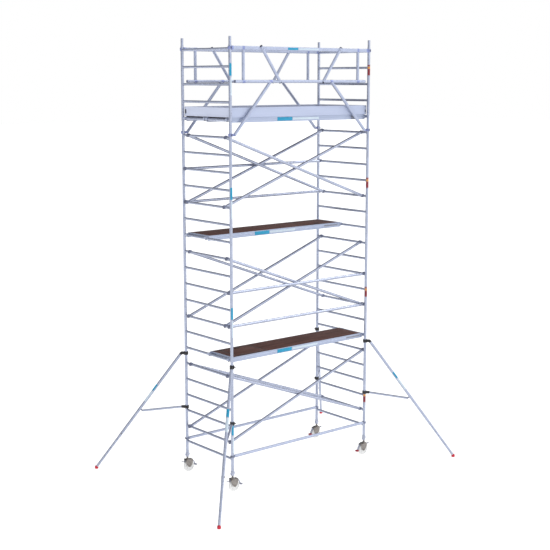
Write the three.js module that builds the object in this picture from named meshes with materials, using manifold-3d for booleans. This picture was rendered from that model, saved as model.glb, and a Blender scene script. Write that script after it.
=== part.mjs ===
// Mobile tower scaffold: an aluminium rolling tower with stacked ladder frames, clip-on braces, three platform
// levels, toe boards, guard rails, four telescopic outriggers and four height-adjustable braked casters.
// Millimetres, +Z up. X runs along the platforms, Y across the tower, and the origin is on the ground at the centre.
import * as THREE from "three";
import { mergeVertices } from "three/addons/utils/BufferGeometryUtils.js";
import Module from "manifold-3d";

const wasm = await Module();
wasm.setup();

// Driving dimensions of the tower
const BAY_LENGTH = 3040; // between the upright axes of the two end frames
const FRAME_WIDTH = 1300; // between the two upright axes of one frame
const PITCH = 280; // between rungs
const FIRST_RUNG_Z = 565; // height of the lowest rung's axis above the ground
const FRAME_FOOT = 210; // from a frame's lower end up to its first rung
const LONG_FRAME_RUNGS = 7;
const TOP_FRAME_RUNGS = 4;
const LONG_FRAMES = 3;
const GAP = 0.3; // left between pieces that rest on each other
const WALL = 2; // tube wall

// Frame tubes
const UPRIGHT_R = 25;
const BORE_R = UPRIGHT_R - WALL;
const SPIGOT_R = 22.4;
const SPIGOT_BORE_R = 19;
const SPIGOT_OUT = 120;
const SPIGOT_IN = 60;
const RUNG_R = 20.5;
const NUT_BORE_R = 18.2; // of the adjusting nut, around the stem
const UPRIGHT_SIDES = 8;
const TUBE_SIDES = 6; // rungs, braces and rails, and their hollows
const HOLE_SIDES = 4; // drain holes and the stem's bore

// Braces
const BRACE_R = 24;
const CLAW_INNER_R = 23.5;
const CLAW_OUTER_R = 35;
const CLAW_WIDTH = 42;
const COLLAR_INNER_R = 27.2; // clears an upright's corners
const COLLAR_OUTER_R = 37;
const HANDRAIL_Y = 595;
const BASE_BRACE_Z = FIRST_RUNG_Z + 42;
// Each bay's crossed pairs: the rungs they join, and where the falling and the rising brace lie across the tower.
const BRACE_BAYS = [
  { low: 1, high: 5, front: { falling: -545, rising: -600 }, rear: { falling: 501, rising: 551 } },
  { low: 8, high: 12, front: { falling: -542, rising: -492 }, rear: { falling: 493, rising: 543 } },
  { low: 15, high: 19, front: { falling: -535, rising: -485 }, rear: { falling: 495, rising: 545 } },
];

// Platforms
const DECK_HALF_LENGTH = 1488;
const DECK_WIDTH = 590;
const DECK_OFFSET_Y = 302; // from the tower's middle to a deck's middle
const DECK_TOP = 40; // above the axis of the rung that carries the deck
const DECK_BOTTOM = -43;
const BEAM_WIDTH = 28;
const PANEL_THICK = 12;
const CROSS_MEMBER = 30;
const HOOK_Y = 268; // from the deck's middle to each hook
const HOOK_WIDTH = 50;
const HATCH_LENGTH = 620;
const HATCH_WIDTH = 480;
const HATCH_CENTRE_X = 1010;
const HATCH_GAP = 4;

// Corners of the tower: each letter pair says which end and which side
const CORNERS = [
  { name: "front_left", x: -1, y: -1 },
  { name: "rear_left", x: -1, y: 1 },
  { name: "front_right", x: 1, y: -1 },
  { name: "rear_right", x: 1, y: 1 },
];
const rungZ = (index) => FIRST_RUNG_Z + index * PITCH;

const ALUMINIUM = new THREE.MeshStandardMaterial({ color: 0xc3c8d6, roughness: 0.35, metalness: 0.9 });
const DECK_FINISH = new THREE.MeshStandardMaterial({ color: 0x4a332e, roughness: 0.75, metalness: 0.0 });
const STEEL = new THREE.MeshStandardMaterial({ color: 0x8a857c, roughness: 0.5, metalness: 0.7 });
const NYLON = new THREE.MeshStandardMaterial({ color: 0xdedede, roughness: 0.6, metalness: 0.0 });
const RED = new THREE.MeshStandardMaterial({ color: 0xb3202c, roughness: 0.6, metalness: 0.0 });

const tower = new THREE.Group();

// ---- small helpers -------------------------------------------------------------------------------------------

const at = (x, y, z) => new THREE.Vector3(x, y, z);

// A closed three.js geometry as a solid that can be joined and cut.
function solid(geometry) {
  const bare = geometry.index ? geometry.toNonIndexed() : geometry.clone();
  bare.deleteAttribute("normal");
  bare.deleteAttribute("uv");
  const merged = mergeVertices(bare, 1e-3);
  const vertProperties = merged.attributes.position.array;
  return new wasm.Manifold(new wasm.Mesh({ numProp: 3, vertProperties, triVerts: merged.index.array }));
}

const join = (solids) => solids.reduce((all, next) => all.add(next));

function rod(from, to, radius, sides = TUBE_SIDES) {
  const direction = to.clone().sub(from);
  const geometry = new THREE.CylinderGeometry(radius, radius, direction.length(), sides);
  const turn = new THREE.Quaternion().setFromUnitVectors(at(0, 1, 0), direction.normalize());
  geometry.applyQuaternion(turn).translate(...from.clone().add(to).multiplyScalar(0.5));
  return solid(geometry);
}

function block(low, high) {
  const size = high.clone().sub(low);
  const middle = low.clone().add(high).multiplyScalar(0.5);
  return solid(new THREE.BoxGeometry(size.x, size.y, size.z).translate(...middle));
}

// A flat outline of [u, v] points, drawn in the XY plane and raised along Z, centred on z = 0.
function slab(shape, thickness, curveSegments = 8) {
  const geometry = new THREE.ExtrudeGeometry(shape, { depth: thickness, bevelEnabled: false, curveSegments });
  return geometry.translate(0, 0, -thickness / 2);
}

const outline = (points) => new THREE.Shape(points.map(([u, v]) => new THREE.Vector2(u, v)));

// A C-shaped ring whose mouth, of the given half angle, faces the direction of mouthAngle.
function openRing(innerR, outerR, mouthAngle, mouthHalfAngle) {
  const start = mouthAngle + mouthHalfAngle;
  const end = mouthAngle + 2 * Math.PI - mouthHalfAngle;
  const shape = new THREE.Shape();
  shape.absarc(0, 0, outerR, start, end, false);
  shape.absarc(0, 0, innerR, end, start, true);
  shape.closePath();
  return shape;
}

// Adds one named mesh to the tower.
function addPart(name, shape, material, place = at(0, 0, 0), turnZ = 0) {
  const { vertProperties, triVerts, numProp } = shape.getMesh();
  const positions = new Float32Array((vertProperties.length / numProp) * 3);
  for (let i = 0; i < positions.length / 3; i++) {
    positions.set(vertProperties.subarray(i * numProp, i * numProp + 3), i * 3);
  }
  const geometry = new THREE.BufferGeometry();
  geometry.setAttribute("position", new THREE.BufferAttribute(positions, 3));
  geometry.setIndex(new THREE.BufferAttribute(triVerts, 1));
  geometry.computeVertexNormals();
  const mesh = new THREE.Mesh(geometry, material);
  mesh.name = name;
  mesh.position.copy(place);
  mesh.rotation.z = turnZ;
  tower.add(mesh);
}

// ---- ladder frames -------------------------------------------------------------------------------------------

// One welded frame: two uprights with a spigot at the top, and hollow rungs that open into one upright.
function ladderFrame(rungCount) {
  const top = rungCount * PITCH - GAP;
  const walls = [];
  const bores = [];
  for (const y of [-FRAME_WIDTH / 2, FRAME_WIDTH / 2]) {
    walls.push(rod(at(0, y, 0), at(0, y, top), UPRIGHT_R, UPRIGHT_SIDES));
    walls.push(rod(at(0, y, top - SPIGOT_IN), at(0, y, top + SPIGOT_OUT), SPIGOT_R, UPRIGHT_SIDES));
    bores.push(rod(at(0, y, -1), at(0, y, top - SPIGOT_IN), BORE_R, UPRIGHT_SIDES));
    bores.push(rod(at(0, y, top - SPIGOT_IN - 1), at(0, y, top + SPIGOT_OUT + 1), SPIGOT_BORE_R, UPRIGHT_SIDES));
  }
  for (let i = 0; i < rungCount; i++) {
    const z = FRAME_FOOT + i * PITCH;
    const start = at(0, -FRAME_WIDTH / 2, z);
    walls.push(rod(start, at(0, FRAME_WIDTH / 2, z), RUNG_R));
    bores.push(rod(start, at(0, FRAME_WIDTH / 2 - UPRIGHT_R - 10, z), RUNG_R - WALL));
  }
  return join(walls).subtract(join(bores));
}

// The winged adjusting nuts that the lowest frame stands on, one under each upright.
function adjustingNuts() {
  return join([-FRAME_WIDTH / 2, FRAME_WIDTH / 2].map((y) => {
    const body = rod(at(0, y, -78), at(0, y, 4), 31, UPRIGHT_SIDES);
    const wings = block(at(-47, y - 7, -62), at(47, y + 7, -30));
    return body.add(wings).subtract(rod(at(0, y, -79), at(0, y, 5), NUT_BORE_R, UPRIGHT_SIDES));
  }));
}

function addFrames() {
  const longFrame = ladderFrame(LONG_FRAME_RUNGS);
  const lowestFrame = longFrame.add(adjustingNuts());
  const topFrame = ladderFrame(TOP_FRAME_RUNGS);
  for (const [side, x] of [["left", -BAY_LENGTH / 2], ["right", BAY_LENGTH / 2]]) {
    for (let level = 0; level <= LONG_FRAMES; level++) {
      const z = FIRST_RUNG_Z - FRAME_FOOT + level * LONG_FRAME_RUNGS * PITCH;
      const shape = [lowestFrame, longFrame, longFrame, topFrame][level];
      addPart(`frame_${side}_${level + 1}`, shape, ALUMINIUM, at(x, 0, z));
    }
  }
}

// ---- braces that clip onto the frames ------------------------------------------------------------------------

// A claw that hooks over a rung lying along Y, at the rung's axis.
function rungClaw(place) {
  const mouth = openRing(CLAW_INNER_R, CLAW_OUTER_R, -Math.PI / 2, 0.7);
  const geometry = slab(mouth, CLAW_WIDTH, 4).rotateX(Math.PI / 2);
  return solid(geometry.translate(...place));
}

// A collar around an upright, with its mouth turned to the given angle.
function uprightCollar(place, height, mouthAngle, mouthHalfAngle) {
  const shape = openRing(COLLAR_INNER_R, COLLAR_OUTER_R, mouthAngle, mouthHalfAngle);
  return solid(slab(shape, height, 6).translate(...place));
}

// A tube with solid ends, as its walls and its hollow, which a drain hole on the given side opens.
function closedTube(from, to, radius, drainSide, solidStart = 30, solidEnd = 30) {
  const direction = to.clone().sub(from).normalize();
  const along = (distance) => from.clone().addScaledVector(direction, distance);
  const hollow = rod(along(solidStart), along(to.distanceTo(from) - solidEnd), radius - WALL);
  const drainStart = along(solidStart + 30);
  const drain = rod(drainStart, drainStart.clone().addScaledVector(drainSide, radius + 1), 5, HOLE_SIDES);
  return { wall: rod(from, to, radius), hollow: hollow.add(drain) };
}

// A brace from one end frame to the other, with a gripping end at each side.
function brace(start, end, setback, grip) {
  const direction = end.clone().sub(start).normalize();
  const from = start.clone().addScaledVector(direction, setback);
  const to = end.clone().addScaledVector(direction, -setback);
  const tube = closedTube(from, to, BRACE_R, at(0, 0, -1));
  return join([tube.wall, grip(start, -1), grip(end, 1)]).subtract(tube.hollow);
}

function addRungBrace(name, y, leftRung, rightRung) {
  const start = at(-BAY_LENGTH / 2, y, rungZ(leftRung));
  const end = at(BAY_LENGTH / 2, y, rungZ(rightRung));
  addPart(name, brace(start, end, CLAW_OUTER_R - 6, rungClaw), ALUMINIUM);
}

function addBraces() {
  BRACE_BAYS.forEach((bay, i) => {
    for (const side of ["front", "rear"]) {
      addRungBrace(`diagonal_${side}_${i + 1}_falling`, bay[side].falling, bay.high, bay.low);
      addRungBrace(`diagonal_${side}_${i + 1}_rising`, bay[side].rising, bay.low, bay.high);
    }
  });
  const collar = (place, way) => uprightCollar(place, 34, way < 0 ? Math.PI : 0, 0.6);
  for (const [side, sign] of [["front", -1], ["rear", 1]]) {
    const start = at(-BAY_LENGTH / 2, (sign * FRAME_WIDTH) / 2, BASE_BRACE_Z);
    const end = at(BAY_LENGTH / 2, (sign * FRAME_WIDTH) / 2, BASE_BRACE_Z);
    addPart(`base_brace_${side}`, brace(start, end, COLLAR_OUTER_R - 6, collar), ALUMINIUM);
  }
  // Handrails: knee and hip height beside the lower deck at the front and the middle deck at the rear
  addRungBrace("handrail_front_knee", -HANDRAIL_Y, 8, 8);
  addRungBrace("handrail_front_hip", -HANDRAIL_Y, 10, 10);
  addRungBrace("handrail_rear_knee", HANDRAIL_Y, 15, 15);
  addRungBrace("handrail_rear_hip", HANDRAIL_Y, 17, 17);
}

// ---- platforms -----------------------------------------------------------------------------------------------

// A hook over the rung at one end of a deck: a plate bent down on the far side of the rung.
function deckHook(end, y) {
  const reach = BAY_LENGTH / 2 - DECK_HALF_LENGTH; // from the deck's end to the rung's axis
  const outer = RUNG_R + 8;
  const inner = RUNG_R + GAP;
  const points = [
    [-12, -18], [reach - inner, -18], [reach - inner, inner], [reach + inner, inner], [reach + inner, -14],
    [reach + outer, -14], [reach + outer, outer], [-12, outer],
  ];
  const geometry = slab(outline(points), HOOK_WIDTH).rotateX(Math.PI / 2);
  if (end < 0) geometry.rotateZ(Math.PI);
  return solid(geometry.translate(end * DECK_HALF_LENGTH, y, 0));
}

// One platform: side beams, end beams, cross members and the panel on top. hatchSide is the end with the hatch.
function deck(hatchSide) {
  const half = DECK_WIDTH / 2;
  const panelLow = DECK_TOP - PANEL_THICK;
  const crossLow = DECK_BOTTOM + 15;
  const parts = [];
  for (const side of [-1, 1]) {
    const y = [side * half, side * (half - BEAM_WIDTH)].sort((a, b) => a - b);
    parts.push(block(at(-DECK_HALF_LENGTH, y[0], DECK_BOTTOM), at(DECK_HALF_LENGTH, y[1], DECK_TOP)));
    const x = [side * DECK_HALF_LENGTH, side * (DECK_HALF_LENGTH - BEAM_WIDTH)].sort((a, b) => a - b);
    parts.push(block(at(x[0], -half, crossLow), at(x[1], half, DECK_TOP)));
    parts.push(deckHook(side, -HOOK_Y), deckHook(side, HOOK_Y));
  }
  for (const x of [-HATCH_CENTRE_X + 360, 0, HATCH_CENTRE_X - 360]) {
    const low = at(x - CROSS_MEMBER / 2, -half, crossLow);
    parts.push(block(low, at(x + CROSS_MEMBER / 2, half, panelLow + 1)));
  }
  parts.push(block(at(-DECK_HALF_LENGTH, -half, panelLow), at(DECK_HALF_LENGTH, half, DECK_TOP)));
  const whole = join(parts);
  if (!hatchSide) return whole;
  const x = hatchSide * HATCH_CENTRE_X;
  const hole = block(
    at(x - HATCH_LENGTH / 2, -HATCH_WIDTH / 2, DECK_BOTTOM - 1),
    at(x + HATCH_LENGTH / 2, HATCH_WIDTH / 2, DECK_TOP + 1),
  );
  return whole.subtract(hole);
}

// The hatch's flap, with two battens underneath, closed and flush with the deck.
function hatch(hatchSide) {
  const x = hatchSide * HATCH_CENTRE_X;
  const halfLength = HATCH_LENGTH / 2 - HATCH_GAP;
  const halfWidth = HATCH_WIDTH / 2 - HATCH_GAP;
  const low = DECK_TOP - PANEL_THICK;
  const panel = block(at(x - halfLength, -halfWidth, low), at(x + halfLength, halfWidth, DECK_TOP));
  const battens = [-1, 1].map((side) => {
    const middle = x + side * (halfLength - 60);
    return block(at(middle - 20, -halfWidth + 20, low - 12), at(middle + 20, halfWidth - 20, low + 1));
  });
  return join([panel, ...battens]);
}

function addPlatforms() {
  const decks = [
    { name: "lower", rung: 6, side: -1, hatch: -1 },
    { name: "middle", rung: 13, side: 1, hatch: 1 },
    { name: "top_front", rung: 20, side: -1, hatch: 0 },
    { name: "top_rear", rung: 20, side: 1, hatch: -1 },
  ];
  for (const { name, rung, side, hatch: hatchSide } of decks) {
    const place = at(0, side * DECK_OFFSET_Y, rungZ(rung));
    addPart(`deck_${name}`, deck(hatchSide), DECK_FINISH, place);
    if (hatchSide) addPart(`hatch_${name}`, hatch(hatchSide), DECK_FINISH, place);
  }
}

// A rectangular ring of upright walls between two heights.
function boardRing(halfLength, halfWidth, thickness, low, high) {
  const outer = block(at(-halfLength, -halfWidth, low), at(halfLength, halfWidth, high));
  const inside = at(halfLength - thickness, halfWidth - thickness, high + 1);
  return outer.subtract(block(at(-inside.x, -inside.y, low - 1), inside));
}

// Toe boards around the top platform: hollow, on edge and locked together at the corners.
function addToeBoards() {
  const low = rungZ(20) + DECK_TOP + GAP;
  const high = rungZ(20) + 195;
  const thickness = 20;
  const halfLength = 1505;
  const halfWidth = 616;
  const boards = boardRing(halfLength, halfWidth, thickness, low, high);
  const hollow = boardRing(
    halfLength - WALL, halfWidth - WALL, thickness - 2 * WALL, low + WALL, high - WALL,
  );
  const middle = halfWidth - thickness / 2;
  const drain = rod(at(-1250, -middle, low - 1), at(-1250, -middle, low + WALL + 1), 4, HOLE_SIDES);
  addPart("toe_boards", boards.subtract(hollow).subtract(drain), ALUMINIUM);
}

// ---- guard rails ---------------------------------------------------------------------------------------------

const GUARD = {
  tubeR: 25,
  topZ: rungZ(24) + 12, // middle of the top rail, which is a box section
  railHalfWidth: 15,
  railHalfHeight: 30,
  kneeZ: rungZ(22) + 47,
  kneeHalf: 1430,
  gripZ: rungZ(19) + 46, // where the slanting legs grip the uprights
  postX: 1255,
  legX: [664, 1436], // a leg's upper and lower ends
  strutX: [462, 877], // a strut's lower and upper ends
  strutOut: 12, // from the rails' plane to a strut's axis
  shift: -28, // of the struts and the legs' upper ends along X
};

// The box section rail along the top of a guard, as its walls and its hollow with a drain hole underneath.
function topRail(y) {
  const { topZ, railHalfWidth, railHalfHeight } = GUARD;
  const half = at(BAY_LENGTH / 2 - 31, railHalfWidth, railHalfHeight);
  const inside = half.clone().sub(at(8, WALL, WALL));
  const middle = at(0, y, topZ);
  return {
    wall: block(middle.clone().sub(half), middle.clone().add(half)),
    hollow: block(middle.clone().sub(inside), middle.clone().add(inside)),
    drain: block(at(-1386, y - 6, topZ - railHalfHeight - 1), at(-1374, y + 6, topZ)),
  };
}

// One long-side guard: a top rail gripping the uprights, a knee rail, posts, struts and two slanting legs.
function guardRail(side) {
  const { tubeR, topZ, kneeZ, kneeHalf, gripZ, postX, legX, strutX, strutOut, shift } = GUARD;
  const y = (side * FRAME_WIDTH) / 2;
  const outward = at(0, side, 0);
  const rail = topRail(y);
  const knee = closedTube(at(-kneeHalf, y, kneeZ), at(kneeHalf, y, kneeZ), tubeR, at(0, 0, -1));
  const walls = [rail.wall, knee.wall];
  const hollows = [rail.hollow, rail.drain, knee.hollow];
  const mouth = -side * (Math.PI / 2);
  for (const end of [-1, 1]) {
    const x = (end * BAY_LENGTH) / 2;
    const legTopEnd = at(shift + end * legX[0], y, kneeZ);
    const leg = closedTube(legTopEnd, at(end * legX[1], y, gripZ), tubeR, outward);
    const post = closedTube(at(end * postX, y, kneeZ), at(end * postX, y, topZ - 25), tubeR, outward);
    const strutFoot = at(shift + end * strutX[0], y + side * strutOut, kneeZ - 22);
    const strutHead = at(shift + end * strutX[1], y + side * strutOut, topZ + 38);
    const strut = closedTube(strutFoot, strutHead, tubeR, outward, 80, 130);
    walls.push(leg.wall, post.wall, strut.wall);
    hollows.push(leg.hollow, post.hollow, strut.hollow);
    walls.push(uprightCollar(at(x, y, topZ), 50, mouth, 0.95), uprightCollar(at(x, y, gripZ), 44, mouth, 0.95));
    const neck = [x - end * 33, x - end * 96].sort((a, b) => a - b);
    walls.push(block(at(neck[0], y - 8, gripZ - 20), at(neck[1], y + 8, gripZ + 20)));
  }
  return join(walls).subtract(join(hollows));
}

// ---- outriggers ----------------------------------------------------------------------------------------------

const OUTRIGGER = {
  topZ: 2140,
  lowZ: 1180,
  pivotOut: 82, // from the upright's axis to the leg's upper end
  footOut: 1633, // from the upright's axis to the foot's middle
  footHeight: 62,
  footR: 32,
  tubeLength: 1900,
  legStart: 1500, // the telescopic leg's upper end, measured down the tube
  strutAt: 1262, // where the strut's link meets the tube, measured down the tube
};
const legTop = at(OUTRIGGER.pivotOut, 0, OUTRIGGER.topZ);
const legFoot = at(OUTRIGGER.footOut, 0, OUTRIGGER.footHeight / 2);
const legDirection = legFoot.clone().sub(legTop).normalize();
const onLeg = (distance) => legTop.clone().addScaledVector(legDirection, distance);

// A closed collar around an upright, with a lug out to the given radius.
function pivotCollar(z, height, lugEnd) {
  const disc = rod(at(0, 0, z - height / 2), at(0, 0, z + height / 2), COLLAR_OUTER_R + 2, 10);
  const hole = rod(at(0, 0, z - height), at(0, 0, z + height), COLLAR_INNER_R, 10);
  const lug = block(at(COLLAR_OUTER_R - 3, -17, z - height / 2 + 3), at(lugEnd, 17, z + height / 2 - 3));
  return disc.add(lug).subtract(hole);
}

// The fixed half of an outrigger: two collars on the upright, the outer tube and the strut that steadies it.
function outriggerArm() {
  const { topZ, lowZ, tubeLength, strutAt } = OUTRIGGER;
  const outer = rod(onLeg(0), onLeg(tubeLength), 25, UPRIGHT_SIDES);
  const bore = rod(onLeg(30), onLeg(tubeLength + 1), BORE_R, UPRIGHT_SIDES);
  const knuckle = onLeg(strutAt);
  const strutEnd = at(knuckle.x - 42, 0, knuckle.z - 36);
  const strut = rod(at(70, 0, lowZ), strutEnd, 19);
  const link = rod(at(strutEnd.x - 9, 0, strutEnd.z), knuckle, 12);
  const shell = join([outer, pivotCollar(topZ, 56, 92), pivotCollar(lowZ, 52, 92), strut, link]);
  return shell.subtract(bore);
}

// The telescopic leg that slides in the outer tube, with its foot.
function outriggerLeg() {
  const { tubeLength, legStart, footHeight, footR, footOut } = OUTRIGGER;
  const tubeEnd = legFoot.distanceTo(legTop) - 8;
  const tube = rod(onLeg(legStart), onLeg(tubeEnd), 22, UPRIGHT_SIDES);
  const bore = rod(onLeg(legStart - 1), onLeg(tubeEnd - 60), 20, UPRIGHT_SIDES);
  const profile = [[0, 0], [footR, 0], [footR, 36], [footR - 15, footHeight], [0, footHeight]];
  const foot = new THREE.LatheGeometry(profile.map(([r, z]) => new THREE.Vector2(r, z)), 10);
  foot.rotateX(Math.PI / 2).translate(footOut, 0, 0);
  return tube.subtract(bore).add(solid(foot));
}

function addOutriggers() {
  const arm = outriggerArm();
  const leg = outriggerLeg();
  for (const { name, x, y } of CORNERS) {
    const place = at((x * BAY_LENGTH) / 2, (y * FRAME_WIDTH) / 2, 0);
    const turn = Math.atan2(y, x);
    addPart(`outrigger_${name}`, arm, ALUMINIUM, place, turn);
    addPart(`outrigger_leg_${name}`, leg, RED, place, turn);
  }
}

// ---- casters -------------------------------------------------------------------------------------------------

const CASTER = {
  wheelR: 100,
  trail: 28, // from the swivel axis to the axle
  axleR: 7,
  headZ: 222, // underside of the swivel head
  pinU: 82, // the brake lever's pin, along the rolling direction
  pinZ: 202,
  plateY: 36, // outside of each fork plate
  plateThick: 5,
};
const inSideView = (geometry) => geometry.rotateX(Math.PI / 2); // an outline of (u, z) points stood upright

// The threaded stem that slides in the upright, with the swivel head at its lower end.
function spindle() {
  const stem = rod(at(0, 0, CASTER.headZ + 4), at(0, 0, 680), 17, UPRIGHT_SIDES);
  const bore = rod(at(0, 0, 300), at(0, 0, 681), 13, HOLE_SIDES);
  const head = rod(at(0, 0, CASTER.headZ + GAP), at(0, 0, CASTER.headZ + 16), 38, UPRIGHT_SIDES);
  return stem.subtract(bore).add(head);
}

// The fork: a top plate, two side plates, the axle and brake pins between them and the swivel lock's lever.
function fork() {
  const { trail, axleR, headZ, pinU, pinZ, plateY, plateThick } = CASTER;
  const side = outline([
    [-46, headZ], [-52, 168], [-20, 120], [trail - 20, 84], [trail + 20, 84], [76, 128], [98, 190], [92, headZ],
  ]);
  const plate = inSideView(slab(side, plateThick));
  const middle = plateY - plateThick / 2;
  const parts = [
    solid(plate.clone().translate(0, middle, 0)),
    solid(plate.clone().translate(0, -middle, 0)),
    block(at(-46, -plateY, headZ - 6), at(92, plateY, headZ)),
    rod(at(trail, -plateY - 8, CASTER.wheelR), at(trail, plateY + 8, CASTER.wheelR), axleR, 6),
    rod(at(pinU, -plateY - 4, pinZ), at(pinU, plateY + 4, pinZ), 4, 6),
  ];
  const lever = outline([
    [-36, headZ], [-50, headZ], [-60, 190], [-124, 207], [-126, 200], [-58, 180], [-46, 212], [-36, 214],
  ]);
  parts.push(solid(inSideView(slab(lever, 26))));
  return join(parts);
}

function wheel() {
  const { wheelR, axleR, trail } = CASTER;
  const sides = 16;
  const rim = wheelR / Math.cos(Math.PI / sides); // puts a flat of the rim on the ground
  const profile = [
    [axleR + 2, -27], [24, -27], [rim - 18, -15], [rim - 6, -24], [rim, -18], [rim, 18], [rim - 6, 24],
    [rim - 18, 15], [24, 27], [axleR + 2, 27], [axleR + 2, -27],
  ];
  const geometry = new THREE.LatheGeometry(profile.map(([r, z]) => new THREE.Vector2(r, z)), sides);
  geometry.rotateY(Math.PI / sides);
  return solid(geometry.translate(trail, 0, wheelR));
}

// The brake lever: a strap that follows the wheel's rim down from its pin to the foot pad.
function brakeLever() {
  const { trail, wheelR, pinU, pinZ } = CASTER;
  const arc = (radius, degrees) => {
    const angle = THREE.MathUtils.degToRad(degrees);
    return [trail + radius * Math.cos(angle), wheelR + radius * Math.sin(angle)];
  };
  const strapInner = wheelR + 20;
  const outer = [60, 49, 37, 25, 13, 2].map((angle) => arc(strapInner + 6, angle));
  const inner = [1, 13, 25, 37, 49, 60].map((angle) => arc(strapInner, angle));
  const strap = solid(inSideView(slab(outline([...inner, ...outer]), 50)));
  const eye = rod(at(pinU, -25, pinZ), at(pinU, 25, pinZ), 9.5, UPRIGHT_SIDES);
  const pinHole = rod(at(pinU, -26, pinZ), at(pinU, 26, pinZ), 5.5, UPRIGHT_SIDES);
  const padStart = trail + strapInner;
  const pad = block(at(padStart, -29, 98), at(padStart + 48, 29, 110));
  return join([strap, eye, pad]).subtract(pinHole);
}

function addCasters() {
  const parts = { spindle: spindle(), fork: fork(), wheel: wheel(), brake: brakeLever() };
  const materials = { spindle: STEEL, fork: STEEL, wheel: NYLON, brake: RED };
  for (const { name, x, y } of CORNERS) {
    const place = at((x * BAY_LENGTH) / 2, (y * FRAME_WIDTH) / 2, 0);
    const turn = x < 0 ? 0 : Math.PI; // all four trail towards the middle of the tower
    for (const [piece, shape] of Object.entries(parts)) {
      addPart(`${piece}_${name}`, shape, materials[piece], place, turn);
    }
  }
}

addFrames();
addBraces();
addPlatforms();
addToeBoards();
addPart("guard_rail_front", guardRail(-1), ALUMINIUM);
addPart("guard_rail_rear", guardRail(1), ALUMINIUM);
addOutriggers();
addCasters();

export default tower;
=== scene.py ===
import math

import bmesh
import bpy
from mathutils import Matrix, Vector


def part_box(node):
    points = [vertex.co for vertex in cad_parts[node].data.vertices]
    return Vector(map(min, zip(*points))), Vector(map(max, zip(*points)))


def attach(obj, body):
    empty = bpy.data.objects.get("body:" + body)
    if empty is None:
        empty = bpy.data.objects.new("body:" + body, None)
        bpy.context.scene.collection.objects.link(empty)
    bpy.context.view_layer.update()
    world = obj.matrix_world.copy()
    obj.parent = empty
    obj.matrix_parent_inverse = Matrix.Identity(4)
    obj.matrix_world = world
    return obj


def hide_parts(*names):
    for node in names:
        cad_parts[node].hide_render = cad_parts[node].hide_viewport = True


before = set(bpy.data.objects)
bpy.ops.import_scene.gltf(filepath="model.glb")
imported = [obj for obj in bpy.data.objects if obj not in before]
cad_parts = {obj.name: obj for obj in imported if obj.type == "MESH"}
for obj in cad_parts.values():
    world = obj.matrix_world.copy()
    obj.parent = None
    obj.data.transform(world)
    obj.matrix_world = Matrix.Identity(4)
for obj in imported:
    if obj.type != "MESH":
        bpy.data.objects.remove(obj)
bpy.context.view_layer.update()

# ---- camera and lights ---------------------------------------------------------------------------

CAMERA_PLACE = (-12.6615, -15.177, 6.778)
CAMERA_DIP = 9.622     # degrees below level
CAMERA_TURN = -39.703  # degrees about the vertical, from looking along +Y

camera_data = bpy.data.cameras.new("camera")
camera_data.lens = 74.89
camera_data.sensor_width = 36
camera_data.clip_end = 400
camera = bpy.data.objects.new("camera", camera_data)
camera.location = CAMERA_PLACE
camera.rotation_euler = (math.radians(90 - CAMERA_DIP), 0, math.radians(CAMERA_TURN))
bpy.context.collection.objects.link(camera)
bpy.context.scene.camera = camera

bpy.context.scene.view_settings.view_transform = "Standard"


def studio_world(bright_side, dim, bright):
    """A white backdrop that lights the object softly, most of all from the direction bright_side."""
    world = bpy.data.worlds.new("studio")
    world.use_nodes = True
    nodes = world.node_tree.nodes
    links = world.node_tree.links
    coords = nodes.new("ShaderNodeTexCoord")
    facing = nodes.new("ShaderNodeVectorMath")
    facing.operation = "DOT_PRODUCT"
    facing.inputs[1].default_value = Vector(bright_side).normalized()
    links.new(coords.outputs["Generated"], facing.inputs[0])
    level = nodes.new("ShaderNodeMapRange")
    level.inputs["From Min"].default_value = -0.15
    level.inputs["From Max"].default_value = 0.8
    level.inputs["To Min"].default_value = dim
    level.inputs["To Max"].default_value = bright
    links.new(facing.outputs["Value"], level.inputs["Value"])
    backdrop = nodes.new("ShaderNodeBackground")
    backdrop.inputs["Color"].default_value = (1, 1, 1, 1)
    seen = nodes.new("ShaderNodeLightPath")
    choice = nodes.new("ShaderNodeMixShader")
    nodes["Background"].inputs["Color"].default_value = (0.96, 0.97, 1.0, 1)
    links.new(level.outputs["Result"], nodes["Background"].inputs["Strength"])
    links.new(seen.outputs["Is Camera Ray"], choice.inputs["Fac"])
    links.new(nodes["Background"].outputs["Background"], choice.inputs[1])
    links.new(backdrop.outputs["Background"], choice.inputs[2])
    links.new(choice.outputs["Shader"], nodes["World Output"].inputs["Surface"])
    bpy.context.scene.world = world


def sun(name, strength, angle, tilt, turn):
    """A sun lamp. Its own angle, its tilt from straight down and its turn are in degrees."""
    data = bpy.data.lights.new(name, "SUN")
    data.energy = strength
    data.angle = math.radians(angle)
    lamp = bpy.data.objects.new(name, data)
    lamp.rotation_euler = (math.radians(tilt), 0, math.radians(turn))
    bpy.context.collection.objects.link(lamp)


studio_world((0.4, -0.7, -0.45), 0.45, 1.65)
sun("key", 0.9, 30, 48, 68)
sun("fill", 0.5, 60, 47, -74)

# ---- dimensions shared with the CAD model, in metres ---------------------------------------------

UPRIGHT_R = 0.025
RUNG_R = 0.0205
BRACE_R = 0.024
GUARD_R = 0.025
PITCH = 0.28        # from rung to rung
FULL_RUNGS = 7      # in a full ladder frame
TOP_RUNGS = 4       # in the short frames at the top
RUNG_RISE = 0.21    # from a frame's foot to its first rung
SPIGOT_RISE = 0.12  # from a frame's top to its spigots' tops
low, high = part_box("frame_left_2")
BAY_X = -(low[0] + high[0]) / 2
HALF_Y = high[1] - UPRIGHT_R
FRAME_2_FOOT = high[2] - SPIGOT_RISE - FULL_RUNGS * PITCH
FIRST_RUNG = FRAME_2_FOOT - FULL_RUNGS * PITCH + RUNG_RISE
CORNERS = {"front_left": (-1, -1), "rear_left": (-1, 1), "front_right": (1, -1), "rear_right": (1, 1)}


def rung_z(index):
    """The height of a rung's axis, counted from 0 at the bottom of the tower."""
    return FIRST_RUNG + index * PITCH


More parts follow.
